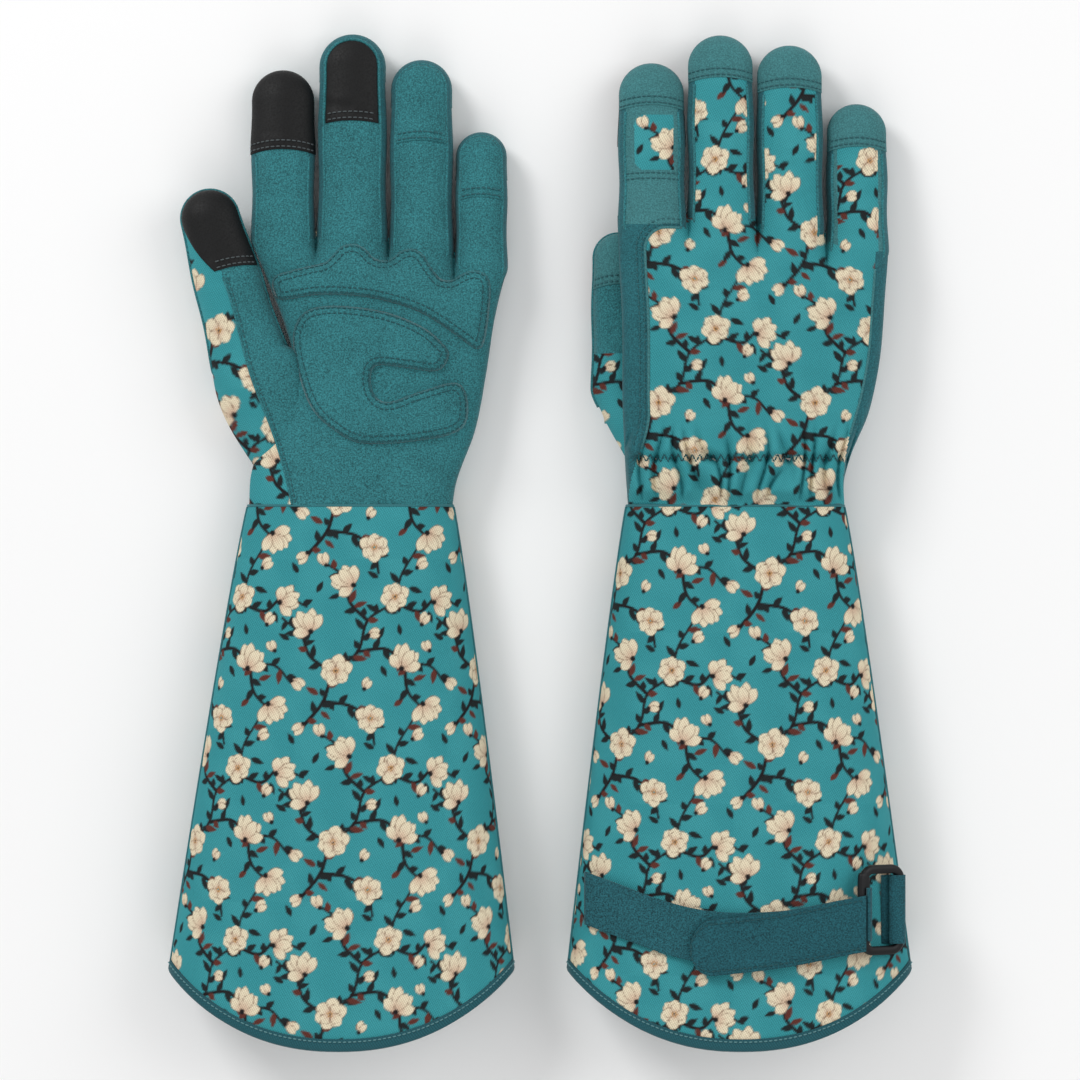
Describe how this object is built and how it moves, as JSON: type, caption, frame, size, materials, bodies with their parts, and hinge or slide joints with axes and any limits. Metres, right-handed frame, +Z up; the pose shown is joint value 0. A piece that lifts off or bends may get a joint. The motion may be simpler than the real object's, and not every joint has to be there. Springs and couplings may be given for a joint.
{
  "type": "gardening gloves",
  "caption": "Pair of long-cuffed garden gloves with padded suede palms, flower-print backs, smooth touch tips and a strap with a loop buckle on each cuff.",
  "frame": {"origin": "on the table, under the middle of the pair's bounding box", "axes": "+X across the pair from the left glove to the right glove, +Y from the cuffs to the fingertips, +Z up from the table"},
  "size_m": [0.3138, 0.4302, 0.0482],
  "materials": {
    "suede": "fine matt synthetic suede with a salt and pepper nap",
    "print": "printed cotton twill, blossom on blue-green",
    "touch": "smooth black synthetic leather",
    "binding": "dark woven edging tape",
    "webbing": "dark hook and loop webbing",
    "moulded": "satin moulded plastic",
    "elastic": "woven elastic"
  },
  "bodies": {
    "left_hand": {"left_back_panel": "print", "left_heel_pad": "suede", "left_knuckle_pad": "suede", "left_palm_panel": "suede", "left_thumb_root": "print", "left_wrist_elastic": "elastic"},
    "left_cuff": {"left_buckle_keeper": "webbing", "left_cuff_back_panel": "print", "left_cuff_palm_panel": "print", "left_hem_binding": "binding", "left_strap_base": "webbing"},
    "left_buckle": {"left_buckle_loop": "moulded"},
    "left_index": {"left_index_back": "suede", "left_index_front": "suede", "left_index_gusset": "suede", "left_index_touch_tip": "touch"},
    "left_little": {"left_little_back": "print", "left_little_front": "suede", "left_little_gusset": "suede"},
    "left_middle": {"left_middle_back": "print", "left_middle_front": "suede", "left_middle_gusset": "suede", "left_middle_touch_tip": "touch"},
    "left_ring": {"left_ring_back": "print", "left_ring_front": "suede", "left_ring_gusset": "suede"},
    "left_strap_tab": {"left_strap_tab_end": "webbing"},
    "left_thumb": {"left_thumb_back": "print", "left_thumb_front": "suede", "left_thumb_touch_tip": "touch"},
    "right_hand": {"right_back_panel": "print", "right_heel_pad": "suede", "right_knuckle_pad": "suede", "right_palm_panel": "suede", "right_thumb_root": "print", "right_wrist_elastic": "elastic"},
    "right_cuff": {"right_buckle_keeper": "webbing", "right_cuff_back_panel": "print", "right_cuff_palm_panel": "print", "right_hem_binding": "binding", "right_strap_base": "webbing"},
    "right_buckle": {"right_buckle_loop": "moulded"},
    "right_index": {"right_index_back": "suede", "right_index_front": "suede", "right_index_gusset": "suede", "right_index_touch_tip": "touch"},
    "right_little": {"right_little_back": "print", "right_little_front": "suede", "right_little_gusset": "suede"},
    "right_middle": {"right_middle_back": "print", "right_middle_front": "suede", "right_middle_gusset": "suede", "right_middle_touch_tip": "touch"},
    "right_ring": {"right_ring_back": "print", "right_ring_front": "suede", "right_ring_gusset": "suede"},
    "right_strap_tab": {"right_strap_tab_end": "webbing"},
    "right_thumb": {"right_thumb_back": "print", "right_thumb_front": "suede", "right_thumb_touch_tip": "touch"}
  },
  "joints": [
    {"name": "left_wrist_bend", "type": "hinge", "parent": "left_cuff", "child": "left_hand", "pos_m": [-0.0805, 0.0135, 0.0155], "axis": [1, 0, 0], "range_deg": [-30, 30]},
    {"name": "left_index_bend", "type": "hinge", "parent": "left_hand", "child": "left_index", "pos_m": [-0.1094, 0.1265, 0.0112], "axis": [1, 0, 0], "range_deg": [0, 75]},
    {"name": "left_middle_bend", "type": "hinge", "parent": "left_hand", "child": "left_middle", "pos_m": [-0.0799, 0.1265, 0.0112], "axis": [1, 0, 0], "range_deg": [0, 75]},
    {"name": "left_ring_bend", "type": "hinge", "parent": "left_hand", "child": "left_ring", "pos_m": [-0.0505, 0.121, 0.0112], "axis": [1, 0, 0], "range_deg": [0, 75]},
    {"name": "left_little_bend", "type": "hinge", "parent": "left_hand", "child": "left_little", "pos_m": [-0.025, 0.1145, 0.0112], "axis": [1, 0, 0], "range_deg": [0, 75]},
    {"name": "left_thumb_bend", "type": "hinge", "parent": "left_hand", "child": "left_thumb", "pos_m": [-0.123, 0.0746, 0.014], "axis": [0.9627, 0.2706, 0], "range_deg": [0, 50]},
    {"name": "left_buckle_swing", "type": "hinge", "parent": "left_cuff", "child": "left_buckle", "pos_m": [-0.0225, -0.1565, 0.0024], "axis": [0, -1, 0], "range_deg": [0, 15]},
    {"name": "left_strap_peel", "type": "hinge", "parent": "left_buckle", "child": "left_strap_tab", "pos_m": [-0.0405, -0.1565, 0.0024], "axis": [0, -1, 0], "range_deg": [0, 150]},
    {"name": "right_wrist_bend", "type": "hinge", "parent": "right_cuff", "child": "right_hand", "pos_m": [0.083, 0.0135, 0.0175], "axis": [-1, 0, 0], "range_deg": [-30, 30]},
    {"name": "right_index_bend", "type": "hinge", "parent": "right_hand", "child": "right_index", "pos_m": [0.0474, 0.132, 0.0266], "axis": [-1, 0, 0], "range_deg": [0, 45]},
    {"name": "right_middle_bend", "type": "hinge", "parent": "right_hand", "child": "right_middle", "pos_m": [0.0767, 0.135, 0.0232], "axis": [-1, 0, 0], "range_deg": [0, 75]},
    {"name": "right_ring_bend", "type": "hinge", "parent": "right_hand", "child": "right_ring", "pos_m": [0.1061, 0.1295, 0.0196], "axis": [-1, 0, 0], "range_deg": [0, 75]},
    {"name": "right_little_bend", "type": "hinge", "parent": "right_hand", "child": "right_little", "pos_m": [0.1347, 0.121, 0.0162], "axis": [-1, 0, 0], "range_deg": [0, 75]},
    {"name": "right_thumb_swing", "type": "hinge", "parent": "right_hand", "child": "right_thumb", "pos_m": [0.0334, 0.0625, 0.0114], "axis": [0, 0, 1], "range_deg": [0, 30]},
    {"name": "right_buckle_swing", "type": "hinge", "parent": "right_cuff", "child": "right_buckle", "pos_m": [0.15139, -0.1565, 0.03438], "axis": [0, 1, 0], "range_deg": [0, 15]},
    {"name": "right_strap_peel", "type": "hinge", "parent": "right_buckle", "child": "right_strap_tab", "pos_m": [0.13581, -0.1565, 0.04338], "axis": [0, 1, 0], "range_deg": [0, 150]},
    {"name": "glove_spacing", "type": "slide", "parent": "left_cuff", "child": "right_cuff", "axis": [1, 0, 0], "range_m": [0, 0.15]}
  ]
}
